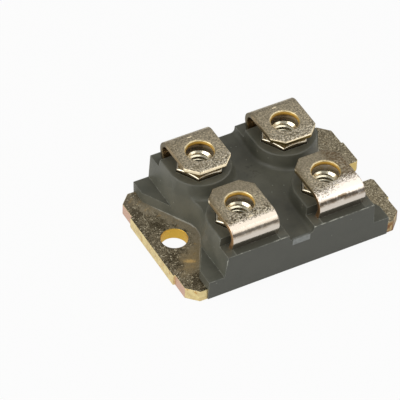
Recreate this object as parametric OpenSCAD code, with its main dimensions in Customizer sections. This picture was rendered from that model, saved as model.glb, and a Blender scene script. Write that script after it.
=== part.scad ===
// Isolated twin diode module in a four-screw moulded power package.
// Millimetres, +Z up, origin at the centre of the base plate's underside.
// The closed mounting hole is at -X and the open mounting slot at +X.

/* [Screw spacing] */
// Distance between the mounting hole and the mounting slot
mount_pitch = 30.2; // [29:0.1:33]
// Spacing of the terminals along the module
term_pitch_x = 15; // [14:0.1:16]
// Spacing of the terminals across the module
term_pitch_y = 12.7; // [12:0.1:15]

/* [Base plate] */
// Thickness of the plate
plate_t = 2.05; // [1.5:0.05:3]
// Distance from each mounting centre to the end of the plate
plate_end = 3.95; // [3.4:0.05:5]
// Width of the plated middle of each end
plate_end_w = 14.2; // [10:0.1:18]
// How far the sheared lands beside it sit back
plate_land_step = 0.3; // [0.1:0.05:0.8]
// Corner chamfer
plate_corner = 1.75; // [1:0.05:2.5]
// Diameter of the mounting hole
mount_hole_d = 4.2; // [3.4:0.1:5]
// Width of the mounting slot
mount_slot_w = 4.3; // [3.4:0.1:5]
// Chamfer at the mouth of the slot
slot_mouth = 0.4; // [0.1:0.05:0.8]

/* [Housing] */
// Gap between the mounting surface and the moulding
housing_standoff = 0.1; // [0.05:0.05:0.4]
// Thickness of the moulding beside the plate's long edges
plate_skin = 0.2; // [0.1:0.05:0.6]
// Height of the skirt above the plate
skirt_h = 1.7; // [1.2:0.05:2.4]
// How far the skirt runs past the mounting centres
skirt_reach = 0.65; // [0.2:0.05:1.5]
// Moulding left round the corners of a nut pocket
tower_wall = 0.95; // [0.7:0.05:1.3]
// How far the ledges cut into the nut pockets, which opens the pockets towards the legs
ledge_bite = 0.1; // [0.05:0.05:0.4]
// Depth of the nut pockets
pocket_depth = 2.55; // [2:0.05:2.9]
// Height of the towers above the ledges that the terminals rise from
ledge_drop = 1.45; // [1.1:0.05:1.8]
// Moulding in front of a terminal's leg
ledge_lip = 1.4; // [0.8:0.05:2]
// Depth of the channels between the towers
channel_depth = 2.6; // [2.1:0.05:3]
// Fillet between tower and channel floor
tower_fillet = 0.7; // [0.3:0.05:0.9]
// Rounding of the tower rims
rim_round = 0.25; // [0.1:0.05:0.4]
// Draft of the tower, recess and end walls, degrees
wall_draft = 5; // [2:0.5:7]
// Draft of the long side walls, degrees
side_draft = 3.2; // [1:0.1:4]
// Opening angle of the screw-head recesses, degrees
recess_angle = 120; // [110:1:130]
// How deep a recess wall cuts into the towers that it touches
recess_bite = 0.06; // [0.02:0.01:0.3]
// Width of the gate scar
gate_w = 3.1; // [2:0.1:4]
// Height of the gate scar
gate_h = 1.2; // [0.8:0.1:1.6]

/* [Terminals] */
// Width of a terminal
term_w = 8; // [7:0.1:8.6]
// Thickness of the terminal strip
term_t = 0.8; // [0.6:0.05:1]
// Gap between a nut and the terminal above it
nut_play = 1.2; // [0.6:0.05:1.6]
// Distance from the hole to the free end
term_reach = 4.35; // [3.9:0.05:4.8]
// Chamfer at the corners of the free end
term_corner = 1.75; // [1:0.05:2.2]
// Diameter of the terminal hole
term_hole_d = 4.4; // [4:0.1:5]
// Bevel round the upper edge of the terminal hole
term_hole_bevel = 0.2; // [0.1:0.05:0.35]
// Inner radius of the fold over the nut
term_bend_r = 1.4; // [0.8:0.05:1.8]
// Gap between the ledge's back wall and the leg
leg_gap = 0.6; // [0.3:0.05:0.8]
// Outward lean of the leg between the ledge and the fold, degrees
leg_lean = 19; // [0:1:25]
// Width of the leg inside the moulding
leg_w = 4; // [3:0.1:4.2]
// How far below the ledge the leg narrows
neck_drop = 0.7; // [0.4:0.05:1.2]
// Inner radius of the bend at the foot
foot_bend_r = 0.3; // [0.2:0.05:0.5]
// Length of the soldered foot
foot_l = 2.4; // [1.8:0.1:2.8]

/* [Nuts] */
// Width across the flats
nut_af = 7; // [6.5:0.1:7.6]
// Height of a nut
nut_h = 3.2; // [2.6:0.1:4]
// Diameter of the plain bore at the thread crests
nut_bore_d = 3.3; // [3:0.05:3.6]
// Diameter of the countersinks
nut_sink_d = 4.3; // [4:0.05:4.6]
// Clearance between nut and pocket, each side
nut_clear = 0.1; // [0.05:0.05:0.2]
// Diameter of the clearance hole for the screw's tip
tip_hole_d = 4.2; // [4.1:0.1:5]
// Depth of that hole below the nut
tip_hole_h = 1.9; // [1.2:0.1:2.5]

/* [Circuit] */
// Thickness of each solder joint
solder_t = 0.1; // [0.05:0.01:0.15]
// Thickness of the ceramic insulator
ceramic_t = 0.63; // [0.4:0.01:1]
// Thickness of the copper bonded to each face of the ceramic
copper_t = 0.3; // [0.2:0.01:0.4]
// Bare ceramic round the copper
copper_margin = 0.4; // [0.3:0.05:0.6]
// Gap between neighbouring copper pads
pad_gap = 0.8; // [0.5:0.05:1.2]
// Copper in front of a terminal's soldered foot
foot_margin = 0.3; // [0.1:0.05:0.5]
// Length of the anode pads across the module
anode_pad_l = 7; // [6.4:0.1:7.4]
// Side of a square diode chip
chip_side = 7.5; // [6.5:0.1:8]
// Thickness of a diode chip
chip_t = 0.3; // [0.2:0.01:0.4]
// Gap between the chip and the end of its pad
chip_margin = 2; // [1.5:0.1:2.5]
// Width of the clip from chip to anode pad
clip_w = 5; // [4:0.1:6]
// Thickness of the clip
clip_t = 0.3; // [0.2:0.01:0.4]
// Height of the clip's arch above the chip
clip_rise = 0.3; // [0.15:0.01:0.4]
// Length of the clip's soldered foot
clip_foot_l = 1.6; // [1.2:0.1:1.8]
// Gap between the clip's joint and the edge of the chip
clip_inset = 1; // [0.7:0.05:1.5]
// Moulding between the clips and the screw-tip holes
clip_cover = 0.42; // [0.3:0.01:1]
// Moulding between the ceramic and the screw-head recesses
end_cover = 0.8; // [0.5:0.05:1.5]

/* [Hidden] */
$fn = 96;
over = 1;
gate_proud = 0.05;
miter = tan(22.5);
arc_steps = 4;
end_scale = tan(wall_draft);
side_scale = tan(side_draft);
spread = recess_angle / 2;
mount_x = mount_pitch / 2;
term_x = term_pitch_x / 2;
term_y = term_pitch_y / 2;

// Heights from the base plate up to the clips
backing_z = plate_t + solder_t;
ceramic_z = backing_z + copper_t;
pad_z = ceramic_z + ceramic_t;
pad_top = pad_z + copper_t;
joint_top = pad_top + solder_t;
chip_top = joint_top + chip_t;
clip_z = chip_top + solder_t;
clip_top = clip_z + clip_rise;

// Heights of the moulding, the nuts and the terminals above the circuit
tip_z = clip_top + clip_t + clip_cover;
nut_seat_z = tip_z + tip_hole_h;
tower_z = nut_seat_z + pocket_depth;
ledge_z = tower_z - ledge_drop;
floor_z = tower_z - channel_depth;
skirt_z = plate_t + skirt_h;
term_z = nut_seat_z + nut_h + nut_play + term_t;

// Places across the module, from a terminal's hole outwards
pocket_af = nut_af + 2 * nut_clear;
ledge_y = term_y + pocket_af / 2 - ledge_bite;
leg_in_y = ledge_y + leg_gap;
leg_out_y = leg_in_y + term_t;
housing_w = 2 * (leg_out_y + ledge_lip);
fold_z = term_z - term_t - term_bend_r;
lean_h = fold_z - term_bend_r * sin(leg_lean) - ledge_z;
fold_y = leg_in_y + lean_h * tan(leg_lean) - term_bend_r * cos(leg_lean);
free_y = term_y - term_reach;
neck_z = ledge_z - neck_drop;
foot_y = leg_in_y - foot_bend_r;
foot_z = joint_top + term_t + foot_bend_r;

// Half width of the long side walls at height z
function side_y(z) = housing_w / 2 - (ledge_z - z) * side_scale;

plate_w = 2 * (side_y(housing_standoff) - plate_skin);

// Places along the module; a recess wall touches the towers on both sides of it
plate_l = 2 * (mount_x + plate_end);
housing_l = 2 * (mount_x + skirt_reach);
tower_r = pocket_af / 2 / cos(30) + tower_wall;
tower_foot_r = tower_r + (tower_z - plate_t) * end_scale;
recess_r = (mount_x - term_x) * sin(spread) + term_y * cos(spread) - tower_foot_r + recess_bite;

// Half width of the end walls at height z, flush with the towers' flanks
function flank_x(z) = term_x + tower_r + (tower_z - z) * end_scale;
// Radius of a recess at height z
function recess_at(z) = recess_r + (z - plate_t) * end_scale;

// Edges of the ceramic and the copper, and the chip's place
ceramic_x = mount_x - recess_at(pad_top) - end_cover;
pad_x0 = pad_gap / 2;
pad_x1 = ceramic_x - copper_margin;
pad_y1 = foot_y + foot_margin;
ceramic_y = pad_y1 + copper_margin;
split_y = anode_pad_l - pad_y1;
chip_x = (pad_x0 + pad_x1) / 2;
chip_y0 = split_y + pad_gap + chip_margin;

// Places along Y where the clip lands on the chip, clears its edge and lands on the pad
clip_y0 = chip_y0 + chip_side - clip_inset;
clip_y1 = chip_y0 + clip_inset;
clip_y2 = split_y - pad_gap / 2;
clip_y3 = clip_y2 - clip_foot_l;

// Shapes used by more than one piece

// A half drawing followed by its mirror image, as one outline
function both_sides(half) = concat(half, [for (i = [len(half) - 1 : -1 : 0]) [-half[i][0], half[i][1]]]);

// A box from its low corner to its high corner
module block(low, high) {
    translate(low) cube(high - low);
}

// Extrudes a drawing of y against z along X, centred
module along_x(length) {
    rotate([90, 0, 90]) linear_extrude(length, center = true) children();
}

// Extrudes a drawing of x against z along Y, centred
module along_y(length) {
    rotate([90, 0, 0]) linear_extrude(length, center = true) children();
}

// A strip t thick and w wide bent round X, between two angles from the top towards +Y
module strip_bend(inner_r, t, w, from, to) {
    outer_r = inner_r + t;
    intersection() {
        rotate([0, 90, 0]) difference() {
            cylinder(h = w, r = outer_r, center = true);
            cylinder(h = w + over, r = inner_r, center = true);
        }
        along_x(2 * w) polygon(concat(
            [[0, 0]], [for (a = [from, (from + to) / 2, to]) 2 * outer_r * [sin(a), cos(a)]]
        ));
    }
}

// Draws the +X side's copy, or its mirror image at -X
module on_side(side) {
    mirror([side < 0 ? 1 : 0, 0, 0]) children();
}

// Puts a copy at each of the four terminal positions
module at_terminals() {
    for (sx = [-1, 1], sy = [-1, 1]) translate([sx * term_x, sy * term_y, 0]) children();
}

// Base plate

module plate_outline() {
    mid = plate_l / 2;
    land = mid - plate_land_step;
    end_y = plate_end_w / 2;
    edge = plate_w / 2;
    half = [
        [land - plate_corner, -edge], [land, plate_corner - edge], [land, -end_y], [mid, -end_y],
        [mid, end_y], [land, end_y], [land, edge - plate_corner], [land - plate_corner, edge]
    ];
    polygon(concat(half, [for (p = half) -p]));
}

module slot_outline() {
    r = mount_slot_w / 2;
    mid = plate_l / 2;
    translate([mount_x, 0]) circle(r);
    translate([mount_x, -r]) square([plate_l, mount_slot_w]);
    polygon([[mid - slot_mouth, r], [mid, r + slot_mouth], [mid + over, r + slot_mouth],
             [mid + over, -r - slot_mouth], [mid, -r - slot_mouth], [mid - slot_mouth, -r]]);
}

module baseplate() {
    color("darkgoldenrod") difference() {
        linear_extrude(plate_t) plate_outline();
        translate([-mount_x, 0, -over]) cylinder(h = plate_t + 2 * over, d = mount_hole_d);
        translate([0, 0, -over]) linear_extrude(plate_t + 2 * over) slot_outline();
    }
}

// Insulated substrate

module copper_sheet(z) {
    block([-pad_x1, -pad_y1, z], [pad_x1, pad_y1, z + copper_t]);
}

module substrate_solder() {
    color("silver") block([-pad_x1, -pad_y1, plate_t], [pad_x1, pad_y1, backing_z]);
}

module substrate_backing() {
    color("peru") copper_sheet(backing_z);
}

module ceramic_insulator() {
    color("white")
        block([-ceramic_x, -ceramic_y, ceramic_z], [ceramic_x, ceramic_y, pad_z]);
}

module anode_pad(side) {
    color("peru") on_side(side)
        block([pad_x0, -pad_y1, pad_z], [pad_x1, split_y, pad_top]);
}

module cathode_pad(side) {
    color("peru") on_side(side)
        block([pad_x0, split_y + pad_gap, pad_z], [pad_x1, pad_y1, pad_top]);
}

// Diode chips and their clips

module chip_slab(z, t) {
    block([chip_x - chip_side / 2, chip_y0, z], [chip_x + chip_side / 2, chip_y0 + chip_side, z + t]);
}

module chip_solder() {
    color("silver") for (side = [-1, 1]) on_side(side) chip_slab(pad_top, solder_t);
}

module diode_chip(side) {
    color("dimgray") on_side(side) chip_slab(joint_top, chip_t);
}

module clip_profile() {
    polygon([
        [clip_y0, clip_z], [clip_y1, clip_z], [clip_y1 - clip_rise, clip_top],
        [clip_y2 + clip_top - joint_top, clip_top], [clip_y2, joint_top], [clip_y3, joint_top],
        [clip_y3, joint_top + clip_t], [clip_y2 - miter * clip_t, joint_top + clip_t],
        [clip_y2 + clip_top - joint_top - miter * clip_t, clip_top + clip_t],
        [clip_y1 - clip_rise + miter * clip_t, clip_top + clip_t],
        [clip_y1 + miter * clip_t, clip_z + clip_t], [clip_y0, clip_z + clip_t]
    ]);
}

module anode_clip(side) {
    color("peru") translate([side * chip_x, 0, 0]) along_x(clip_w) clip_profile();
}

module clip_solder() {
    x0 = chip_x - clip_w / 2;
    x1 = chip_x + clip_w / 2;
    color("silver") for (side = [-1, 1]) on_side(side) {
        block([x0, clip_y1, chip_top], [x1, clip_y0, clip_z]);
        block([x0, clip_y3, pad_top], [x1, clip_y2, joint_top]);
    }
}

// Folded terminals

// Where the leaning leg runs into the fold, on the face of radius r
function lean_end(r) = [fold_y + r * cos(leg_lean), fold_z - r * sin(leg_lean)];

// Wide part of the leg, y against z: upright in the moulding, leaning above the ledge
module leg_profile() {
    kink_z = ledge_z - term_t * tan(leg_lean / 2);
    polygon([
        [leg_in_y, neck_z], [leg_in_y, ledge_z], lean_end(term_bend_r),
        lean_end(term_bend_r + term_t), [leg_out_y, kink_z], [leg_out_y, neck_z]
    ]);
}

module terminal(sx, sy) {
    corner = term_corner * sqrt(2);
    color("tan") translate([sx * term_x, 0, 0]) mirror([0, sy < 0 ? 1 : 0, 0]) {
        difference() {
            block([-term_w / 2, free_y, term_z - term_t], [term_w / 2, fold_y, term_z]);
            translate([0, term_y, 0]) cylinder(h = term_z + over, d = term_hole_d);
            translate([0, term_y, term_z - term_hole_bevel])
                cylinder(h = term_hole_bevel, d1 = term_hole_d, d2 = term_hole_d + 2 * term_hole_bevel);
            for (s = [-1, 1]) translate([s * term_w / 2, free_y, term_z]) rotate([0, 0, 45])
                cube([corner, corner, 3 * term_t], center = true);
        }
        translate([0, fold_y, fold_z]) strip_bend(term_bend_r, term_t, term_w, 0, 90 + leg_lean);
        along_x(term_w) leg_profile();
        block([-leg_w / 2, leg_in_y, foot_z], [leg_w / 2, leg_out_y, neck_z]);
        translate([0, foot_y, foot_z]) strip_bend(foot_bend_r, term_t, leg_w, 90, 180);
        block([-leg_w / 2, foot_y - foot_l, joint_top], [leg_w / 2, foot_y, joint_top + term_t]);
    }
}

module terminal_solder() {
    color("silver") for (sx = [-1, 1], sy = [0, 1]) translate([sx * term_x, 0, 0]) mirror([0, sy, 0])
        block([-leg_w / 2, foot_y - foot_l, pad_top], [leg_w / 2, foot_y, joint_top]);
}

// Captive nuts

module hex_prism(af, h) {
    cylinder(h = h, d = af / cos(30), $fn = 6);
}

module terminal_nut(sx, sy) {
    round_r = nut_af / 2;
    corner_r = round_r / cos(30);
    bevel = (corner_r - round_r) * tan(30);
    bore_r = nut_bore_d / 2;
    sink_r = nut_sink_d / 2;
    sink = sink_r - bore_r;
    color("silver") translate([sx * term_x, sy * term_y, nut_seat_z]) intersection() {
        hex_prism(nut_af, nut_h);
        rotate_extrude() polygon([
            [bore_r, sink], [sink_r, 0], [round_r, 0], [corner_r, bevel],
            [corner_r, nut_h - bevel], [round_r, nut_h], [sink_r, nut_h], [bore_r, nut_h - sink]
        ]);
    }
}

// Moulded housing

// Half section of a tower: x is the distance from its axis or centre plane
function tower_section() =
    let (
        top_r = tower_r - rim_round,
        foot_r = flank_x(floor_z) - term_x + tower_fillet
    ) concat(
        [[0, skirt_z], [foot_r, skirt_z], [foot_r, floor_z]],
        [for (i = [1 : arc_steps]) let (a = 90 * i / arc_steps)
            [foot_r - tower_fillet * sin(a), floor_z + tower_fillet * (1 - cos(a))]],
        [for (i = [0 : arc_steps]) let (a = 90 * i / arc_steps)
            [top_r + rim_round * cos(a), tower_z - rim_round * (1 - sin(a))]],
        [[0, tower_z]]
    );

module tower(sx, sy) {
    half = tower_section();
    far = housing_w / 2;
    translate([sx * term_x, sy * term_y, 0]) {
        rotate_extrude() polygon(half);
        translate([0, sy * far / 2, 0]) along_y(far) polygon(both_sides(half));
    }
}

// Outline of the long sides and of the ledges, y against z
module side_section() {
    low = housing_standoff;
    back = ledge_y - (tower_z - ledge_z) * end_scale;
    polygon(both_sides([
        [side_y(low), low], [side_y(ledge_z), ledge_z], [ledge_y, ledge_z], [back, tower_z]
    ]));
}

// Outline of the ends, x against z: skirt, shoulder and end wall
module end_section() {
    low = housing_standoff;
    skirt = housing_l / 2;
    polygon(both_sides([
        [skirt, low], [skirt, skirt_z], [flank_x(skirt_z), skirt_z], [flank_x(tower_z), tower_z]
    ]));
}

// Everything on the -X side of a wall that leans from x = low to x = high
module recess_side(low, high, rise) {
    along_y(3 * housing_w) polygon([[low, 0], [high, rise], [-housing_l, rise], [-housing_l, 0]]);
}

// Space for a mounting screw's head: a cone, and the two planes that touch it and open outwards
module screw_recess() {
    low = recess_at(housing_standoff);
    high = recess_at(tower_z + over);
    rise = tower_z + over - housing_standoff;
    translate([-mount_x, 0, housing_standoff]) {
        cylinder(h = rise, r1 = low, r2 = high);
        intersection() {
            rotate([0, 0, 90 - spread]) recess_side(low, high, rise);
            rotate([0, 0, spread - 90]) recess_side(low, high, rise);
            recess_side(low * sin(spread), high * sin(spread), rise);
        }
    }
}

module gate_scar() {
    low = floor_z - gate_h;
    rotate([0, 0, 180]) along_x(gate_w) polygon([
        [0, low], [side_y(low) + gate_proud, low],
        [side_y(floor_z) + gate_proud, floor_z], [0, floor_z]
    ]);
}

module housing_form() {
    difference() {
        union() {
            intersection() {
                along_x(2 * housing_l) side_section();
                along_y(2 * housing_w) end_section();
                union() {
                    block([-housing_l, -housing_w, housing_standoff], [housing_l, housing_w, floor_z]);
                    for (sx = [-1, 1], sy = [-1, 1]) tower(sx, sy);
                }
            }
            gate_scar();
        }
        for (turn = [0, 180]) rotate([0, 0, turn]) screw_recess();
        at_terminals() {
            translate([0, 0, nut_seat_z]) hex_prism(pocket_af, tower_z);
            translate([0, 0, tip_z]) cylinder(h = tower_z, d = tip_hole_d);
        }
    }
}

module housing() {
    color("dimgray") difference() {
        housing_form();
        linear_extrude(plate_t) plate_outline();
        substrate_solder();
        substrate_backing();
        ceramic_insulator();
        chip_solder();
        clip_solder();
        terminal_solder();
        for (side = [-1, 1]) {
            anode_pad(side);
            cathode_pad(side);
            diode_chip(side);
            anode_clip(side);
            for (sy = [-1, 1]) terminal(side, sy);
        }
    }
}

baseplate();
substrate_solder();
substrate_backing();
ceramic_insulator();
anode_pad(-1);  // anode_pad_1
anode_pad(1);  // anode_pad_2
cathode_pad(-1);  // cathode_pad_1
cathode_pad(1);  // cathode_pad_2
chip_solder();
diode_chip(-1);  // diode_chip_1
diode_chip(1);  // diode_chip_2
clip_solder();
anode_clip(-1);  // anode_clip_1
anode_clip(1);  // anode_clip_2
terminal_solder();
terminal(-1, -1);  // anode_terminal_1
terminal(1, -1);  // anode_terminal_2
terminal(-1, 1);  // cathode_terminal_1
terminal(1, 1);  // cathode_terminal_2
terminal_nut(-1, -1);  // terminal_nut_1
terminal_nut(1, -1);  // terminal_nut_2
terminal_nut(-1, 1);  // terminal_nut_3
terminal_nut(1, 1);  // terminal_nut_4
housing();
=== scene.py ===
# Twin diode module with four screw terminals, dressed over its CAD frame
import math
import bmesh
import bpy
from mathutils import Matrix, Vector


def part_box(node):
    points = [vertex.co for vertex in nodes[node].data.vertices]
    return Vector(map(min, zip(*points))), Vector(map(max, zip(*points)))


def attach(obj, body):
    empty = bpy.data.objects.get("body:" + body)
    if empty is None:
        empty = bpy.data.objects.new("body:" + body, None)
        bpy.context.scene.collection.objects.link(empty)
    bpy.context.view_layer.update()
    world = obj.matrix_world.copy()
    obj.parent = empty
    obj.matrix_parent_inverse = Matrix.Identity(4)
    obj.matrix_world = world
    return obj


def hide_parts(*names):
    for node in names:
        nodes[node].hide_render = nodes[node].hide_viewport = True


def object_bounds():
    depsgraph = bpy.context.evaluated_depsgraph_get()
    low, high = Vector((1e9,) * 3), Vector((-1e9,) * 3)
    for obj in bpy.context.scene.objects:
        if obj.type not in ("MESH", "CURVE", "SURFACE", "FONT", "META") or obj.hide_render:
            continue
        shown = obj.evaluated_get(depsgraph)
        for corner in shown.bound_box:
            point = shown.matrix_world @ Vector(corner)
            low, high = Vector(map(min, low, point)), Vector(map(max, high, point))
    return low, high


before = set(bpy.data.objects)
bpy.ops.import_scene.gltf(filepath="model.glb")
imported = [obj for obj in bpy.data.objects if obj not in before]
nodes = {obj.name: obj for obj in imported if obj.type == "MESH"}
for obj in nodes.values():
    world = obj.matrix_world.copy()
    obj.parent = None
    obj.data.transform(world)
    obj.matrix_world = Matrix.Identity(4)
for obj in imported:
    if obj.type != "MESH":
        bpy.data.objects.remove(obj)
cadBox = [list(corner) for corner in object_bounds()]
mm = 0.001
print("frame loaded:", len(nodes), "nodes")

terminalNames = [name for name in nodes if "_terminal_" in name]
nutNames = [name for name in nodes if name.startswith("terminal_nut_")]


# a node tree, with short words for the nodes that the looks below are made of
class Recipe:
    def __init__(self, owner):
        owner.use_nodes = True
        self.tree = owner.node_tree
        self.tree.nodes.clear()

    def feed(self, socket, value):
        if isinstance(value, bpy.types.NodeSocket):
            self.tree.links.new(value, socket)
        elif hasattr(value, "__len__") and len(value) == 3 and len(socket.default_value) == 4:
            socket.default_value = (*value, 1)
        else:
            socket.default_value = value

    def add(self, kind, inputs, **choices):
        item = self.tree.nodes.new("ShaderNode" + kind)
        for key, value in choices.items():
            setattr(item, key, value)
        for key, value in inputs.items():
            self.feed(item.inputs[key], value)
        return item.outputs

    def calc(self, operation, a, b=0.0, clamp=False):
        return self.add("Math", {0: a, 1: b}, operation=operation, use_clamp=clamp)[0]

    def plus(self, a, b):
        return self.calc("ADD", a, b)

    def minus(self, a, b):
        return self.calc("SUBTRACT", a, b)

    def over(self, a, b):
        return self.calc("DIVIDE", a, b)

    def times(self, first, *others):
        for other in others:
            first = self.calc("MULTIPLY", first, other)
        return first

    def most(self, first, *others):
        for other in others:
            first = self.calc("MAXIMUM", first, other)
        return first

    def size(self, value):
        return self.calc("ABSOLUTE", value)

    def rest(self, share):
        return self.minus(1.0, share)

    # from low to high over the span, with soft ends
    def rise(self, value, span, low=0.0, high=1.0):
        return self.add("MapRange", {0: value, 1: span[0], 2: span[1], 3: low, 4: high},
                        interpolation_type="SMOOTHSTEP")[0]

    def fall(self, value, span, high=1.0, low=0.0):
        return self.rise(value, span, high, low)

    # one value outside a mask, another inside it
    def pick(self, mask, outside, inside):
        return self.rise(mask, (0.0, 1.0), outside, inside)

    def blend(self, share, low, high):
        return self.add("Mix", {0: share, 6: low, 7: high}, data_type="RGBA")[2]

    def split(self, vector):
        return self.add("SeparateXYZ", {0: vector})

    def away(self, values, middle):
        return [self.minus(value, centre) for value, centre in zip(values, middle)]

    def distance(self, a, b):
        flat = self.add("CombineXYZ", {0: a, 1: b})[0]
        return self.add("VectorMath", {0: flat}, operation="LENGTH")["Value"]

    # how far a point lies along a line that is turned by some degrees
    def along(self, a, b, degrees):
        turn = math.radians(degrees)
        return self.plus(self.times(a, math.cos(turn)), self.times(b, math.sin(turn)))


# the tree of a material: it knows the place in millimetres and the way that the surface faces
class Finish(Recipe):
    def __init__(self, name):
        self.material = bpy.data.materials.new(name)
        super().__init__(self.material)
        place = self.add("TexCoord", {})["Object"]
        self.at = self.add("VectorMath", {0: place, "Scale": 1 / mm}, operation="SCALE")[0]
        self.x, self.y, self.z = self.split(self.at)
        self.normal = self.add("NewGeometry", {})["Normal"]
        self.nx, self.ny, self.nz = self.split(self.normal)

    def cloud(self, size, detail=3.0, rough=0.55):
        return self.add("TexNoise", {"Vector": self.at, "Scale": 1 / size, "Detail": detail,
                                     "Roughness": rough})["Fac"]

    # patches of a cloud; the look gives its size, where they start and where they are full
    def patches(self, look, low=0.0, high=1.0, detail=3.0, rough=0.55):
        size, *span = look
        return self.rise(self.cloud(size, detail, rough), span, low, high)

    def grains(self, size):
        return self.add("TexVoronoi", {"Vector": self.at, "Scale": 1 / size})

    # how sharply the surface bends near a point: 0 on flats, 1 on edges
    def edges(self, radius, span):
        soft = self.add("Bevel", {"Radius": radius * mm}, samples=6)[0]
        same = self.add("VectorMath", {0: self.normal, 1: soft}, operation="DOT_PRODUCT")["Value"]
        return self.rise(self.rest(same), span)

    def bump(self, height, depth, strength, over=None):
        inputs = {"Strength": strength, "Distance": depth * mm, "Height": height}
        if over is not None:
            inputs["Normal"] = over
        return self.add("Bump", inputs)[0]

    def surface(self, colour, rough, normal, metal=0.0):
        shader = self.add("BsdfPrincipled", {"Base Color": colour, "Metallic": metal,
                                             "Roughness": rough, "Normal": normal})
        self.add("OutputMaterial", {"Surface": shader[0]})
        return self.material


# a colour as the eye names it, 0 to 255, to Blender's light values
def shade(*levels):
    return tuple((v / 255 / 12.92) if v <= 10 else ((v / 255 + 0.055) / 1.055) ** 2.4 for v in levels)


def around(middle, soft=0.1):
    return middle - soft, middle + soft


# softens the hard CAD edges without touching the meshes
edgeLook = {"housing": 0.14, "baseplate": 0.1, "terminal": 0.07, "corner": 32, "steps": 2,
            "weld": 0.0005, "level": 0.3}


def softenEdges(piece, width):
    weld = piece.modifiers.new("weld", "WELD")
    weld.merge_threshold = edgeLook["weld"] * mm
    flat = piece.modifiers.new("flats", "DECIMATE")
    flat.decimate_type = "DISSOLVE"
    flat.angle_limit = math.radians(edgeLook["level"])
    bevel = piece.modifiers.new("edges", "BEVEL")
    bevel.width = width * mm
    bevel.segments = edgeLook["steps"]
    bevel.limit_method = "ANGLE"
    bevel.angle_limit = math.radians(edgeLook["corner"])
    bevel.use_clamp_overlap = True
    bevel.harden_normals = True
    smooth = piece.modifiers.new("shading", "WEIGHTED_NORMAL")
    smooth.keep_sharp = False


softenEdges(nodes["housing"], edgeLook["housing"])
softenEdges(nodes["baseplate"], edgeLook["baseplate"])
for name in terminalNames:
    softenEdges(nodes[name], edgeLook["terminal"])
print("edges softened")


# moulded resin of the housing; pairs are where a fade starts and ends, clouds have their size first
resinLook = {
    "colour": shade(93, 92, 80), "dark": shade(80, 80, 69), "long": shade(82, 83, 75),
    "speck": shade(176, 176, 164), "flashAndHighlight": shade(200, 200, 188), "burr": shade(200, 200, 186),
    "scar": shade(150, 153, 150), "shadowAndSmudge": shade(64, 64, 54), "rough": (0.34, 0.54),
    "mottle": (3.0, 0.35, 0.7), "longSide": (-12.2, -12.1), "grain": 0.14, "grainTone": (0.45, 0.8),
    "grainRough": (0.2, 0.8), "grainDepth": 0.012, "speckGap": 0.8, "speckRadius": (0.05, 0.14),
    "speckFrom": 0.88, "smudgeAt": (0.3, 3.8), "smudgeRadius": (1.15, 2.3), "smudge": (0.6, 0.52, 0.62),
    "channelTop": (7.0, 7.1), "ledge": 7.9, "ledgeNear": (0.05, 0.1), "ledgeFacing": (0.8, 0.95),
    "legX": 7.5, "legHalf": 3.75, "legFront": (11.0, 11.2), "seamGap": 0.05, "seamWidth": (0.03, 0.09),
    "seamFrom": (-11.35, -11.25), "seamBreaks": (1.5, 0.4, 0.6), "flashRadius": 0.2,
    "flashBend": (0.02, 0.16), "flashBreaks": (0.7, 0.42, 0.66), "quietFrom": (4.2, 4.6),
    "quietTo": (8.8, 9.1), "quietHalf": (9.0, 9.4), "burrRadius": 0.32, "burrBend": (0.02, 0.1),
    "burrBreaks": (1.1, 0.48, 0.58), "burrNear": (0.15, 0.3), "corner": -12.4, "cornerFrom": (6.0, 6.6),
    "front": -12.45, "scarHalf": (1.45, 1.57), "scarLow": (5.53, 5.65), "scarTop": (6.7, 6.78),
    "scarFrom": -12.3, "scarGrain": 0.5, "scarTone": (0.3, 0.6), "scarDepth": 0.12,
}


# painted shadow of the legs on the ledges in front of them, with a faint seam beside it
def shadeLedges(mix, base, fromLedge):
    look = resinLook
    onLedge = mix.times(mix.rise(mix.nz, look["ledgeFacing"]), mix.fall(fromLedge, look["ledgeNear"]))
    fromLeg = mix.size(mix.minus(mix.size(mix.x), look["legX"]))
    before = mix.times(mix.fall(fromLeg, around(look["legHalf"])),
                       mix.rise(mix.size(mix.y), look["legFront"]))
    # the ledge in front of each leg is painted dark as the leg's shadow
    base = mix.blend(mix.times(onLedge, before, 0.75), base, look["shadowAndSmudge"])
    fromSeam = mix.size(mix.minus(fromLeg, look["legHalf"] + look["seamGap"]))
    seam = mix.times(mix.fall(fromSeam, look["seamWidth"]), onLedge, mix.fall(mix.y, look["seamFrom"]))
    seam = mix.times(seam, mix.patches(look["seamBreaks"], 0.05, 0.3))
    return mix.blend(seam, base, look["flashAndHighlight"])


# thin pale line, broken, along every edge: partly mould flash and partly a painted edge highlight, with a
# burr on the front ledges
def addFlashAndHighlights(mix, base, fromLedge):
    look = resinLook
    # pale edge line: mould flash and a painted highlight
    flashAndHighlight = mix.times(mix.edges(look["flashRadius"], look["flashBend"]),
                      mix.patches(look["flashBreaks"], 0.12, 0.6, 5.0, 0.75))
    quiet = mix.times(mix.rise(mix.z, look["quietFrom"]), mix.fall(mix.z, look["quietTo"]),
                      mix.fall(mix.size(mix.y), look["quietHalf"], 0.75))
    base = mix.blend(mix.times(flashAndHighlight, mix.rest(quiet)), base, look["flashAndHighlight"])
    corner = mix.times(mix.fall(mix.x, around(look["corner"])), mix.rise(mix.z, look["cornerFrom"]))
    lip = mix.most(mix.fall(fromLedge, look["burrNear"]), corner)
    lip = mix.times(lip, mix.fall(mix.y, around(look["front"])))
    burr = mix.times(mix.edges(look["burrRadius"], look["burrBend"]), lip,
                     mix.patches(look["burrBreaks"], detail=5.0, rough=0.7))
    return mix.blend(burr, base, look["burr"])


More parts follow.
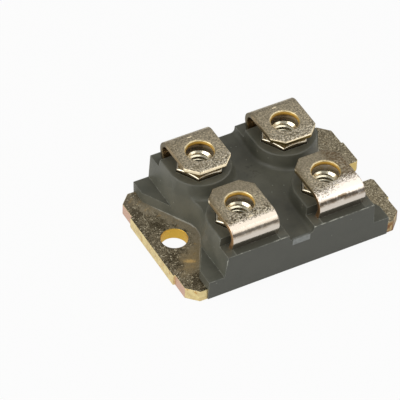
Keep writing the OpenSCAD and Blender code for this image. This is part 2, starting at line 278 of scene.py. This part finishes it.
def resinFinish():
    look = resinLook
    mix = Finish("housingResin")
    base = mix.blend(mix.patches(look["mottle"]), look["colour"], look["dark"])
    # the long front side is painted darker and evener, as shade
    base = mix.blend(mix.fall(mix.y, look["longSide"], 0.75), base, look["long"])  # even long side
    grain = mix.cloud(look["grain"], 4.0, 0.7)
    base = mix.blend(mix.rise(grain, look["grainTone"], 0.0, 0.4), base, look["dark"])
    dots = mix.grains(look["speckGap"])
    chosen = mix.calc("GREATER_THAN", mix.split(dots["Color"])[0], look["speckFrom"])
    specks = mix.times(mix.fall(dots["Distance"], look["speckRadius"]), chosen, 0.7)
    base = mix.blend(specks, base, look["speck"])
    # a few dark smudges on the channel floor
    apart = mix.distance(*mix.away((mix.x, mix.y), look["smudgeAt"]))
    smudge = mix.times(mix.fall(apart, look["smudgeRadius"]), mix.patches(look["smudge"], 0.0, 0.6),
                       mix.fall(mix.z, look["channelTop"]))
    base = mix.blend(smudge, base, look["shadowAndSmudge"])
    fromLedge = mix.size(mix.minus(mix.z, look["ledge"]))
    base = shadeLedges(mix, base, fromLedge)
    base = addFlashAndHighlights(mix, base, fromLedge)
    # torn scar where the mould was filled
    scar = mix.times(mix.fall(mix.size(mix.x), look["scarHalf"]), mix.rise(mix.z, look["scarLow"]),
                     mix.fall(mix.z, look["scarTop"]), mix.calc("LESS_THAN", mix.y, look["scarFrom"]))
    torn = mix.cloud(look["scarGrain"], 4.0, 0.65)
    base = mix.blend(mix.times(scar, mix.rise(torn, look["scarTone"], 0.6, 1.0)), base, look["scar"])
    normal = mix.bump(grain, look["grainDepth"], 0.6)
    normal = mix.bump(mix.times(torn, scar), look["scarDepth"], 0.6, normal)
    return mix.surface(base, mix.rise(grain, look["grainRough"], *look["rough"]), normal)


# plated copper of the base plate
plateLook = {
    "gold": shade(216, 202, 170), "brown": shade(130, 118, 95), "dark": shade(90, 80, 61),
    "bright": shade(250, 238, 206), "edge": shade(226, 204, 150), "edgeBright": shade(246, 228, 170),
    "spot": shade(206, 150, 70), "copper": shade(140, 102, 72), "pink": shade(222, 186, 164),
    "hole": shade(228, 188, 82), "slot": shade(228, 202, 130), "film": shade(142, 131, 108),
    "filmWarm": shade(140, 121, 84), "smear": shade(190, 160, 108), "goldSheen": shade(214, 176, 108),
    "line": shade(200, 196, 182), "topRough": (0.22, 0.45), "sideRough": (0.42, 0.42, 0.42),
    "topFacing": (0.8, 0.95), "grain": 0.24, "grainTone": (0.36, 0.66), "grainDepth": 0.07,
    "crystal": 0.2, "crystalBright": (0.88, 0.94), "patch": (1.5, 0.42, 0.62),
    "mountAt": 15.1, "recess": 4.1, "flank": 30, "bleed": 1.2, "wavy": (0.3, 0.7),
    "filmWidth": (0.7, 2.9), "filmWide": (-5.0, -1.0), "filmFront": (-9.0, -6.5),
    "filmRear": (7.0, 11.0), "filmSmear": (1.0, 0.55, 0.75), "sheenAt": (-15.3, -5.45),
    "sheenTurn": -27, "sheenSize": (1.0, 0.45), "sheenFade": (0.3, 1.2), "lineWidth": (0.08, 0.28),
    "lineBreaks": (0.4, 0.6), "lineFrom": (-2.0, 1.0), "lineHalf": (6.5, 8.5), "clearWidth": (0.15, 0.4),
    "clearFrom": (0.4, 1.0), "clearTo": (3.6, 4.6), "shear": 0.8, "shearTone": (0.35, 0.65),
    "spots": (0.9, 0.6, 0.7), "landFrom": 7.1, "landFacing": (0.85, 0.95), "holeWall": (2.16, 2.22),
    "slotHalf": (3.0, 3.4), "bareFrom": (9.5, 10.2), "bareTone": (0.45, 0.65),
}


# film of resin bled from the moulding onto the plate, with one golden sheen painted as a highlight and a
# pale line at its foot
def addFilm(mix, base, fine, left):
    look = plateLook
    inward = mix.minus(look["mountAt"], mix.size(mix.x))
    across = mix.size(mix.y)
    flank = mix.along(inward, across, look["flank"])
    within = mix.calc("GREATER_THAN", mix.times(inward, math.tan(math.radians(look["flank"]))), across)
    bow = mix.times(within, mix.minus(mix.distance(inward, mix.y), flank))
    gap = mix.minus(look["recess"], mix.plus(flank, bow))  # from the recess wall
    bleed = mix.cloud(look["bleed"], 4.0, 0.6)
    wide = mix.fall(mix.y, look["filmWide"])
    spread = mix.plus(mix.minus(gap, wide), mix.rise(bleed, look["wavy"], -0.9, 0.9))
    film = mix.times(mix.fall(spread, look["filmWidth"], 0.95), mix.pick(left, 0.25, 1.0),
                     mix.rise(mix.y, look["filmFront"]), mix.fall(mix.y, look["filmRear"], 1.0, 0.5))
    tone = mix.blend(mix.patches(look["filmSmear"], detail=2.0), look["film"], look["smear"])
    tone = mix.blend(mix.times(wide, 0.8), tone, look["filmWarm"])
    base = mix.blend(film, base, tone)
    # a soft golden sheen painted onto the plate as a highlight
    apart = mix.away((mix.x, mix.y), look["sheenAt"])
    turns = (look["sheenTurn"], look["sheenTurn"] + 90)
    goldSheen = mix.distance(*(mix.over(mix.along(*apart, turn), half)
                            for turn, half in zip(turns, look["sheenSize"])))
    goldSheen = mix.plus(goldSheen, mix.rise(fine, look["wavy"], -0.3, 0.3))
    base = mix.blend(mix.fall(goldSheen, look["sheenFade"], 0.8), base, look["goldSheen"])
    line = mix.times(mix.fall(gap, look["lineWidth"]), mix.rise(bleed, look["lineBreaks"], 0.45, 1.0),
                     mix.rise(mix.y, look["lineFrom"], 0.4, 1.0), mix.fall(across, look["lineHalf"]))
    clear = mix.times(mix.rise(mix.y, look["clearFrom"]), mix.fall(mix.y, look["clearTo"], 0.9),
                      left, mix.fall(gap, look["clearWidth"]))
    line = mix.most(line, clear)
    return mix.blend(line, base, look["line"]), mix.most(film, line)


# sheared edges, pink lands beside the middle, gold wall of the mounting hole, bare right corners
def plateSides(mix, left):
    look = plateLook
    across = mix.size(mix.y)
    right = mix.rest(left)
    sheared = mix.cloud(look["shear"], 4.0)
    tone = mix.blend(mix.rise(sheared, look["shearTone"]), look["edge"], look["edgeBright"])
    tone = mix.blend(mix.patches(look["spots"], 0.0, 0.7), tone, look["spot"])
    land = mix.times(mix.rise(across, around(look["landFrom"])),
                     mix.rise(mix.size(mix.nx), look["landFacing"]))
    tone = mix.blend(land, tone, look["pink"])
    fromMount = mix.distance(mix.minus(look["mountAt"], mix.size(mix.x)), mix.y)
    tone = mix.blend(mix.times(left, mix.fall(fromMount, look["holeWall"])), tone, look["hole"])
    tone = mix.blend(mix.times(right, mix.fall(across, look["slotHalf"])), tone, look["slot"])
    bare = mix.times(right, mix.rise(across, look["bareFrom"]),
                     mix.fall(sheared, look["bareTone"], 1.0, 0.4))
    return mix.blend(bare, tone, look["copper"])


def plateFinish():
    look = plateLook
    mix = Finish("platePlating")
    top = mix.rise(mix.nz, look["topFacing"])
    left = mix.calc("LESS_THAN", mix.x, 0.0)
    # grain of the plated top, with dark patches mostly at the left end, and sparkle
    crystal = mix.split(mix.grains(look["crystal"])["Color"])
    fine = mix.cloud(look["grain"], 4.0, 0.7)
    base = mix.blend(mix.rise(fine, look["grainTone"]), look["brown"], look["gold"])
    patch = mix.times(mix.patches(look["patch"], detail=4.0, rough=0.6), mix.pick(left, 0.15, 0.45))
    base = mix.blend(mix.plus(mix.pick(left, 0.0, 0.34), patch), base, look["dark"])
    base = mix.blend(mix.rise(crystal[0], look["crystalBright"], 0.0, 0.75), base, look["bright"])
    base, coat = addFilm(mix, base, fine, left)
    base = mix.blend(top, plateSides(mix, left), base)
    metal = mix.rest(mix.times(top, coat, 0.9))
    rough = mix.blend(top, look["sideRough"], mix.pick(crystal[1], *look["topRough"]))
    relief = mix.times(fine, mix.pick(top, 0.3, 1.0), metal)
    return mix.surface(base, rough, mix.bump(relief, look["grainDepth"], 0.9), metal)


# nickel-washed copper strip of the terminals
stripLook = {
    "nickel": shade(232, 217, 186), "grey": shade(164, 153, 131), "pale": shade(246, 230, 196),
    "calm": shade(166, 154, 130), "pit": shade(88, 78, 58), "sparkle": shade(255, 244, 220),
    "stain": shade(146, 130, 100), "scuff": shade(124, 102, 74), "footShade": shade(84, 74, 58),
    "polished": shade(214, 202, 186), "rubbed": shade(229, 219, 207), "side": shade(168, 148, 112),
    "copper": shade(224, 174, 122), "rearSideShade": shade(92, 88, 70), "shear": shade(150, 128, 70),
    "wall": shade(208, 164, 70), "wallShade": shade(150, 110, 44), "rim": shade(244, 226, 172),
    "under": shade(236, 214, 166), "inside": shade(156, 130, 92),
    "flatRough": (0.3, 0.5), "foldRough": (0.15, 0.3), "cutRough": (0.38, 0.38, 0.38),
    # the flat, from the middle of the hole
    "holeX": 7.5, "holeY": 6.35, "holeRadius": 2.2, "grain": 0.3, "grainTone": (0.38, 0.64),
    "grainDepth": 0.12, "crystal": 0.18, "crystalPale": (0.8, 0.95), "crystalSparkle": (0.66, 0.8),
    "calmFrom": (0.5, 2.6), "coarseTo": (-3.0, -0.8), "pits": (0.36, 0.48, 0.55),
    "stains": (1.8, 0.45, 0.65), "stainEdge": (-3.6, -2.6), "wornFrom": (8.2, 9.6),
    "wornSpots": (0.4, 0.44, 0.56),
    # the fold and the leg
    "bend": 10.05, "bendSoft": 0.25, "rightSoft": 0.5, "rearShift": 0.95, "slantFrom": (5.0, 9.0),
    "slantShift": (0.1, 1.15), "ragged": (0.24, 0.3, 0.7), "rubbedBelow": (10.3, 10.7), "legFrom": 10.0,
    "smear": 0.9, "smearWide": (0.3, 0.7), "scuffTone": (0.32, 0.58), "scuffFrom": (11.1, 11.4),
    "scuffTo": (11.65, 11.8), "spotAt": (7.65, 11.35), "spotSize": (1.1, 0.3), "spotFade": (0.5, 1.1),
    "footShadeBelow": (8.95, 9.3), "sag": -0.24, "sagFacing": (0.93, 0.99), "hazeFacing": (0.8, 0.97),
    # cut edges, hole and underside
    "sideFacing": (0.6, 0.85), "bareFrom": (9.2, 10.6), "rearFold": (9.2, 10.4), "freeEnd": 4.2,
    "freeFacing": (0.3, 0.6), "shearLine": (11.35, 11.5), "shearRight": 0.3, "lean": 0.8,
    "leanFacing": (-0.6, -0.2), "rolled": 0.3, "wallEdge": (0.02, 0.08), "rimFacing": (0.85, 0.95),
    "rimWall": (0.26, 0.32), "rimEdge": (0.24, 0.3), "rimFrom": (11.6, 11.7), "wallFrom": (11.0, 11.1),
    "wallTone": (11.25, 11.6), "underFacing": (-0.9, -0.6), "underFrom": (10.5, 11.0),
    "insideFacing": (-0.45, -0.2), "insideFrom": (9.2, 9.6), "tickHalf": (0.32, 0.4), "tickY": 9.75,
    "tickWide": (0.08, 0.13), "tickFacing": (0.8, 0.9), "tickLean": -0.35,
}


# grainy plating: calm on the half towards the rear, pits and sparkle on the half towards the front
def stripFlat(mix, front, frontRight):
    look = stripLook
    fine = mix.cloud(look["grain"], 2.0, 0.6)
    crystal = mix.split(mix.grains(look["crystal"])["Color"])
    base = mix.blend(mix.rise(fine, look["grainTone"]), look["grey"], look["nickel"])
    base = mix.blend(mix.rise(crystal[0], look["crystalPale"], 0.0, 0.6), base, look["pale"])
    lengthwise = mix.minus(mix.y, mix.times(mix.calc("SIGN", mix.y), look["holeY"]))
    crosswise = mix.minus(mix.x, mix.times(mix.calc("SIGN", mix.x), look["holeX"]))
    calm = mix.times(mix.rise(lengthwise, look["calmFrom"]), mix.pick(front, 0.2, 0.55))
    base = mix.blend(calm, base, look["calm"])
    coarse = mix.fall(lengthwise, look["coarseTo"])
    pits = mix.times(coarse, mix.patches(look["pits"], detail=2.0), mix.pick(front, 0.55, 1.0))
    base = mix.blend(pits, base, look["pit"])
    sparkle = mix.times(coarse, mix.rise(crystal[2], look["crystalSparkle"]))
    base = mix.blend(sparkle, base, look["sparkle"])
    # brown stains in patches and along the left edges, worn spots on the front right strip
    leftEdge = mix.fall(mix.plus(crosswise, mix.times(fine, 0.6)), look["stainEdge"],
                        mix.pick(front, 0.4, 0.7))
    stain = mix.most(mix.patches(look["stains"], 0.0, 0.22), leftEdge)
    base = mix.blend(stain, base, look["stain"])
    worn = mix.times(frontRight, mix.rise(mix.x, look["wornFrom"]),
                     mix.patches(look["wornSpots"], 0.15, 0.85, detail=2.0))
    return mix.blend(worn, base, look["scuff"]), fine, crystal[1], calm


# bright rubbed fold with a ragged start, scuffs, and a foot painted darker as the dark reflection low on the
# leg
def stripFold(mix, base, smear, front, frontRight):
    look = stripLook
    outward = mix.size(mix.y)
    ragged = mix.times(mix.patches(look["ragged"], -0.3, 0.3, rough=0.6), mix.pick(frontRight, 1.0, 3.0))
    slant = mix.times(frontRight, mix.rise(mix.x, look["slantFrom"], *look["slantShift"]))
    late = mix.pick(front, -look["rearShift"], 0.0)
    reach = mix.plus(mix.plus(outward, ragged), mix.plus(slant, late))
    soft = mix.pick(frontRight, look["bendSoft"], look["rightSoft"])
    past = mix.minus(reach, mix.minus(look["bend"], soft))
    fold = mix.calc("DIVIDE", past, mix.times(soft, 2.0), clamp=True)
    rubbed = mix.most(mix.fall(mix.z, look["rubbedBelow"]), frontRight)
    base = mix.blend(fold, base, mix.blend(rubbed, look["polished"], look["rubbed"]))
    aboveLeg = mix.rise(mix.z, around(look["legFrom"]))
    scuff = mix.times(mix.rise(outward, look["scuffFrom"]), mix.fall(outward, look["scuffTo"]), aboveLeg,
                      mix.rise(smear, look["scuffTone"]), mix.pick(frontRight, 0.45, 0.8))
    apart = mix.away((mix.x, outward), look["spotAt"])
    spot = mix.distance(*(mix.over(far, half) for far, half in zip(apart, look["spotSize"])))
    spot = mix.plus(spot, mix.rise(smear, look["smearWide"], 0.5, -0.5))
    spot = mix.times(mix.fall(spot, look["spotFade"], 0.9), frontRight, aboveLeg)
    base = mix.blend(mix.most(scuff, spot), base, look["scuff"])
    # the foot of the leg is painted darker, standing in for a dark reflection
    foot = mix.fall(mix.plus(mix.z, mix.times(ragged, 0.3)), look["footShadeBelow"])
    return mix.blend(mix.times(foot, 0.45), base, look["footShade"]), fold


# sheared sides: olive along the flat, bare copper round the front folds, painted shade on the sides round
# the rear ones
def stripSides(mix, base, smear, front):
    look = stripLook
    outward = mix.size(mix.y)
    side = mix.rise(mix.size(mix.nx), look["sideFacing"])
    bare = mix.times(mix.rise(outward, look["bareFrom"]), mix.pick(front, 0.15, 1.0),
                     mix.rise(smear, look["smearWide"], 0.5, 1.0))
    base = mix.blend(side, base, mix.blend(bare, look["side"], look["copper"]))
    # the sides round the rear folds are painted dark as shade
    rear = mix.times(side, mix.rise(outward, look["rearFold"]), mix.pick(front, 0.8, 0.0))
    base = mix.blend(rear, base, look["rearSideShade"])
    # free end, pale above the line of the shear
    free = mix.times(mix.fall(outward, around(look["freeEnd"])),
                     mix.fall(mix.size(mix.nz), look["freeFacing"]))
    drop = mix.times(mix.calc("GREATER_THAN", mix.x, 0.0), look["shearRight"])
    upper = mix.rise(mix.minus(mix.z, drop), look["shearLine"])
    base = mix.blend(free, base, mix.blend(upper, look["shear"], look["pale"]))
    return base, side, free, upper


# gold wall of the hole, painted darker low down as shade, with a bright line painted round it as a
# highlight, the underside, and a short witness mark
def stripHole(mix, base):
    look = stripLook
    outward = mix.size(mix.y)
    aside, beyond = mix.away((mix.size(mix.x), outward), (look["holeX"], look["holeY"]))
    fromHole = mix.minus(mix.distance(aside, beyond), look["holeRadius"])
    lip = mix.times(mix.fall(fromHole, look["rimWall"]), mix.fall(mix.nz, look["rimFacing"], 0.25))
    inHole = mix.most(mix.fall(fromHole, look["wallEdge"]), lip)
    inHole = mix.times(inHole, mix.rise(mix.z, look["wallFrom"]))
    # the lower part of the hole wall is painted darker as shade
    wall = mix.blend(mix.rise(mix.z, look["wallTone"]), look["wallShade"], look["wall"])
    base = mix.blend(inHole, base, wall)
    # a bright line is painted round the hole as a highlight
    rim = mix.times(mix.rise(fromHole, look["wallEdge"]), mix.fall(fromHole, look["rimEdge"]),
                    mix.fall(mix.nz, look["rimFacing"], 0.6), mix.rise(mix.z, look["rimFrom"]))
    base = mix.blend(rim, base, look["rim"])
    below = mix.times(mix.fall(mix.nz, look["underFacing"]), mix.rise(mix.z, look["underFrom"]))
    base = mix.blend(below, base, look["under"])
    facing = mix.times(mix.ny, mix.calc("SIGN", mix.y))
    inside = mix.times(mix.fall(facing, look["insideFacing"]), mix.rise(outward, look["insideFrom"]))
    base = mix.blend(inside, base, look["inside"])
    fromTick = mix.size(mix.minus(outward, look["tickY"]))
    tick = mix.times(mix.fall(mix.size(aside), look["tickHalf"]), mix.fall(fromTick, look["tickWide"]),
                     mix.rise(mix.nz, look["tickFacing"]))
    return mix.blend(mix.times(tick, 0.8), base, look["pale"]), inHole, below, tick


def stripFinish():
    look = stripLook
    mix = Finish("terminalPlating")
    front = mix.calc("LESS_THAN", mix.y, 0.0)
    frontRight = mix.times(front, mix.calc("GREATER_THAN", mix.x, 0.0))
    smear = mix.cloud(look["smear"], 4.0, 0.65)
    base, fine, crystal, calm = stripFlat(mix, front, frontRight)
    base, fold = stripFold(mix, base, smear, front, frontRight)
    base, side, free, upper = stripSides(mix, base, smear, front)
    base, inHole, below, tick = stripHole(mix, base)
    metal = mix.pick(mix.most(below, inHole), 1.0, 0.25)
    cut = mix.most(side, free, inHole)
    hazy = mix.rise(mix.times(frontRight, mix.nz), look["hazeFacing"], *look["foldRough"])
    rough = mix.blend(fold, mix.pick(crystal, *look["flatRough"]), hazy)
    rough = mix.blend(cut, rough, look["cutRough"])
    relief = mix.times(fine, mix.rest(mix.times(mix.most(fold, calm, cut), 0.9)))
    # rolled edges; the free end's shear leans back, the mark and the front right bend tip a little
    rolled = mix.add("Bevel", {"Radius": look["rolled"] * mm}, samples=8)[0]
    lean = mix.times(free, upper,
                     mix.rise(mix.nx, look["leanFacing"], 0.35 * look["lean"], look["lean"]))
    sag = mix.times(fold, frontRight, mix.rise(mix.nz, look["sagFacing"]), look["sag"])
    tip = mix.plus(mix.times(tick, look["tickLean"]), sag)
    tilt = mix.add("CombineXYZ", {1: tip, 2: lean})[0]
    rolled = mix.add("VectorMath", {0: rolled, 1: tilt}, operation="ADD")[0]
    rolled = mix.add("VectorMath", {0: rolled}, operation="NORMALIZE")[0]
    return mix.surface(base, rough, mix.bump(relief, look["grainDepth"], 0.9, rolled), metal)


# bright nickel of the nuts
nutLook = {
    "nickel": shade(216, 206, 184), "haze": shade(184, 172, 148), "side": shade(126, 110, 80),
    "matte": shade(214, 198, 170), "bore": shade(246, 238, 210), "ringShade": shade(158, 157, 152),
    "rough": (0.15, 0.3), "roughFrom": (0.2, 0.8), "hazeGrain": 0.5, "hazeTone": (0.3, 0.8),
    "relief": 0.12, "reliefDepth": 0.008, "centre": (7.5, 6.35), "outside": 3.2, "upright": (0.15, 0.4),
    "level": (0.97, 0.995), "matteInner": (2.2, 2.4), "matteOuter": (2.9, 3.3), "ringTo": (2.6, 3.0),
    "boreTo": (2.15, 2.2),
}


def nutFinish():
    look = nutLook
    mix = Finish("nutPlating")
    haze = mix.cloud(look["hazeGrain"], 4.0)
    base = mix.blend(mix.rise(haze, look["hazeTone"], 0.0, 0.5), look["nickel"], look["haze"])
    # sides painted darker as shade, a matte top with a grey ring near the bore painted as the strip's shade,
    # and a bright bore
    radius = mix.distance(*mix.away((mix.size(mix.x), mix.size(mix.y)), look["centre"]))
    up = mix.size(mix.nz)
    # the nut's sides are painted darker as shade
    dull = mix.times(mix.fall(up, look["upright"]), mix.calc("GREATER_THAN", radius, look["outside"]), 0.9)
    base = mix.blend(dull, base, look["side"])
    level = mix.rise(up, look["level"])
    matte = mix.plus(mix.rise(radius, look["matteInner"], 0.0, 0.25),
                     mix.rise(radius, look["matteOuter"], 0.0, 0.75))
    matte = mix.times(level, matte)
    base = mix.blend(matte, base, look["matte"])
    # grey ring near the bore, painted as the shade under the strip
    base = mix.blend(mix.times(level, mix.fall(radius, look["ringTo"], 0.7)), base, look["ringShade"])
    bore = mix.times(mix.fall(radius, look["boreTo"]), mix.fall(up, look["level"]))
    base = mix.blend(bore, base, look["bore"])
    metal = mix.pick(mix.most(matte, mix.times(bore, 0.3)), 1.0, 0.3)
    rough = mix.plus(mix.rise(haze, look["roughFrom"], *look["rough"]), mix.times(matte, 0.25))
    return mix.surface(base, rough, mix.bump(mix.cloud(look["relief"]), look["reliefDepth"], 0.4), metal)


# the layers sealed inside the moulding
innerLook = {  # colour, second colour, metal, rough, grain size
    "copper": (shade(214, 150, 116), shade(178, 112, 82), 1.0, 0.35, 0.4),
    "solder": (shade(196, 196, 198), shade(150, 150, 154), 1.0, 0.4, 0.25),
    "ceramic": (shade(240, 238, 230), shade(222, 219, 208), 0.0, 0.5, 0.15),
    "chip": (shade(92, 94, 102), shade(60, 62, 70), 0.6, 0.25, 0.8),
}
layerKinds = {"solder": "solder", "ceramic": "ceramic", "backing": "copper", "pad": "copper",
              "clip_": "copper", "chip_": "chip"}  # word in a node's name, first match counts


def innerFinish(name):
    colour, second, metal, rough, size = innerLook[name]
    mix = Finish(name + "Layer")
    spots = mix.cloud(size, 4.0)
    base = mix.blend(mix.rise(spots, (0.35, 0.7)), colour, second)
    rough = mix.rise(spots, (0.2, 0.8), rough - 0.1, rough + 0.15)
    return mix.surface(base, rough, mix.bump(spots, 0.01, 0.5), metal)


# captive nuts with a real helical thread
nutShape = {
    "pitch": 0.7, "crest": 1.65, "root": 2.03, "crestEnd": 0.25, "rootFrom": 0.5625, "rootTo": 0.6875,
    "sink": 2.15, "edge": 0.06, "chamfer": 20, "rim": 0.2, "rimShare": 0.7,
    "rimSteps": (-0.1, 0.0, 0.25, 0.5, 0.75, 1.0, 1.1), "columns": 96,
    "weld": 0.0005, "sliver": 0.0002, "sharp": 24,
}


# rows along one pitch: share of the pitch and radius
def threadRows():
    crest, root = nutShape["crest"], nutShape["root"]
    crestEnd, rootFrom, rootTo = nutShape["crestEnd"], nutShape["rootFrom"], nutShape["rootTo"]
    flank = (crest + root) / 2
    return [(0.0, crest), (crestEnd / 2, crest), (crestEnd, crest), ((crestEnd + rootFrom) / 2, flank),
            (rootFrom, root), (rootTo, root), ((rootTo + 1) / 2, flank)]


def makeNut(name):
    low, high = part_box(name)
    centre = (low + high) / 2
    tall = (high.z - low.z) / mm
    flat = (high.y - low.y) / 2 / mm
    columns, pitch, sink, edge = (nutShape[key] for key in ("columns", "pitch", "sink", "edge"))
    profile = threadRows()
    rows = [(turn + share, radius) for turn in range(-1, int(tall / pitch) + 3) for share, radius in profile]
    mesh = bmesh.new()

    def point(angle, radius, z):
        return mesh.verts.new((centre.x + radius * mm * math.cos(angle),
                               centre.y + radius * mm * math.sin(angle), low.z + z * mm))

    grid = []
    for i in range(columns):
        angle = 2 * math.pi * i / columns
        column = []
        for along, radius in rows:
            z = min(max((along + i / columns) * pitch, 0), tall)
            column.append(point(angle, max(radius, sink - z, sink - tall + z), z))
        corner = flat / math.cos((angle % (math.pi / 3)) - math.pi / 6)
        drop = (corner - flat) * math.tan(math.radians(nutShape["chamfer"])) + edge
        column.append(point(angle, flat - edge, tall))
        slant = math.hypot(corner - flat + edge, drop)
        back = min(nutShape["rim"], nutShape["rimShare"] * slant) / slant
        for share in nutShape["rimSteps"]:  # rounded rim between the chamfer and the side
            a, b = max(1 - share, 0) ** 2 * back, max(share, 0) ** 2 * nutShape["rim"]
            column.append(point(angle, corner - a * (corner - flat + edge), tall - drop + a * drop - b))
        column += [point(angle, corner, drop), point(angle, flat - edge, 0)]
        grid.append(column)
    count = len(rows)
    for i in range(columns):
        here, there = grid[i], grid[(i + 1) % columns]
        shift = len(profile) if i == columns - 1 else 0  # the helix has climbed one pitch
        for j in range(count - 1 - shift):
            mesh.faces.new((here[j], here[j + 1], there[j + 1 + shift], there[j + shift]))
        last = len(here) - 1
        for j in range(count - 1, last):
            mesh.faces.new((here[j], here[j + 1], there[j + 1], there[j]))
        mesh.faces.new((here[last], here[0], there[0], there[last]))
    bmesh.ops.remove_doubles(mesh, verts=mesh.verts, dist=nutShape["weld"] * mm)
    bmesh.ops.dissolve_degenerate(mesh, edges=mesh.edges, dist=nutShape["sliver"] * mm)
    bmesh.ops.recalc_face_normals(mesh, faces=mesh.faces)
    data = bpy.data.meshes.new("threaded_" + name)
    mesh.to_mesh(data)
    mesh.free()
    data.shade_smooth()
    data.set_sharp_from_angle(angle=math.radians(nutShape["sharp"]))
    nut = bpy.data.objects.new("threaded_" + name, data)
    bpy.context.scene.collection.objects.link(nut)
    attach(nut, "root")
    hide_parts(name)
    return nut


def dress(piece, finish):
    piece.data.materials.clear()
    piece.data.materials.append(finish)


dress(nodes["housing"], resinFinish())
dress(nodes["baseplate"], plateFinish())
strip, nickel = stripFinish(), nutFinish()
for name in terminalNames:
    dress(nodes[name], strip)
for name in nutNames:
    dress(makeNut(name), nickel)
inner = {name: innerFinish(name) for name in innerLook}
for name, piece in nodes.items():
    kinds = [kind for word, kind in layerKinds.items() if word in name]
    if kinds:
        dress(piece, inner[kinds[0]])
print("finishes on")

# white floor that keeps the shadow, seen white by the camera and in the metal
stageLook = {"floorSize": 6.0, "floorColour": shade(198, 198, 196), "floorRough": 0.9, "floorDrop": 0.02,
             "world": 0.3, "white": 0.94, "mirrored": 0.6}
half = stageLook["floorSize"] / 2
floorMesh = bpy.data.meshes.new("floor")
floorMesh.from_pydata([(-half, -half, 0), (half, -half, 0), (half, half, 0), (-half, half, 0)],
                      [], [(0, 1, 2, 3)])
floor = bpy.data.objects.new("floor", floorMesh)
floor.location.z = cadBox[0][2] - stageLook["floorDrop"] * mm
bpy.context.scene.collection.objects.link(floor)


def paperFinish():
    paper = bpy.data.materials.new("paperFloor")
    mix = Recipe(paper)
    rays = mix.add("LightPath", {})
    shown = mix.times(rays["Is Camera Ray"], stageLook["white"])
    mirrored = mix.most(rays["Is Glossy Ray"], rays["Is Transmission Ray"])
    seen = mix.most(shown, mix.times(mirrored, stageLook["mirrored"]))
    dull = mix.add("BsdfPrincipled", {"Base Color": stageLook["floorColour"],
                                      "Roughness": stageLook["floorRough"]})[0]
    glow = mix.add("Emission", {"Color": (1, 1, 1), "Strength": 1.0})[0]
    mix.add("OutputMaterial", {"Surface": mix.add("MixShader", {0: seen, 1: dull, 2: glow})[0]})
    return paper


def lightWorld():
    world = bpy.data.worlds.new("studio")
    bpy.context.scene.world = world
    mix = Recipe(world)
    strength = mix.pick(mix.add("LightPath", {})["Is Camera Ray"], stageLook["world"], 1.0)
    sky = mix.add("Background", {"Color": (1, 1, 1), "Strength": strength})[0]
    mix.add("OutputWorld", {"Surface": sky})


dress(floor, paperFinish())
lightWorld()

lampLook = {  # place, width, height, power
    "roofLamp": ((0.20, -0.05, 0.46), 0.50, 0.48, 0.92),
    "frontLamp": ((0.20, -0.36, 0.32), 0.26, 0.24, 0.26),
    "leftLamp": ((-0.46, -0.03, 0.25), 0.50, 0.42, 2.0),
    "rightLamp": ((0.50, -0.09, 0.13), 0.40, 0.25, 0.4),
}
lampAim = Vector((0, 0, 0.006))
for name, (place, wide, high, power) in lampLook.items():
    lamp = bpy.data.lights.new(name, "AREA")
    lamp.shape = "RECTANGLE"
    lamp.size, lamp.size_y, lamp.energy = wide, high, power
    holder = bpy.data.objects.new(name, lamp)
    holder.location = place
    holder.rotation_mode = "QUATERNION"
    holder.rotation_quaternion = (lampAim - Vector(place)).to_track_quat("-Z", "Y")
    bpy.context.scene.collection.objects.link(holder)

cameraLook = {"azimuth": -31.284, "elevation": 43.793, "roll": 3.107, "distance": 0.4906, "lens": 285.46,
              "sensor": 36, "clip": (0.01, 20), "about": (0, 0, 0.005), "aim": (-0.009412, -0.000976)}


def placeCamera():
    turn, lift, roll = (math.radians(cameraLook[key]) for key in ("azimuth", "elevation", "roll"))
    back = Vector((math.sin(turn) * math.cos(lift), -math.cos(turn) * math.cos(lift), math.sin(lift)))
    side = Vector((math.cos(turn), math.sin(turn), 0))
    top = back.cross(side)
    right = side * math.cos(roll) + top * math.sin(roll)
    up = top * math.cos(roll) - side * math.sin(roll)
    about = Vector(cameraLook["about"])
    spot = about + back * cameraLook["distance"]
    aim = about + right * cameraLook["aim"][0] + up * cameraLook["aim"][1]
    away = (spot - aim).normalized()
    right = (right - away * right.dot(away)).normalized()
    up = away.cross(right)
    data = bpy.data.cameras.new("camera")
    data.sensor_width = cameraLook["sensor"]
    data.lens = cameraLook["lens"]
    data.clip_start, data.clip_end = cameraLook["clip"]
    camera = bpy.data.objects.new("camera", data)
    camera.location = spot
    camera.rotation_mode = "QUATERNION"
    camera.rotation_quaternion = Matrix((right, up, away)).transposed().to_quaternion()
    bpy.context.scene.collection.objects.link(camera)
    bpy.context.scene.camera = camera


placeCamera()
bpy.context.scene.view_settings.view_transform = "Standard"
print("stage set")
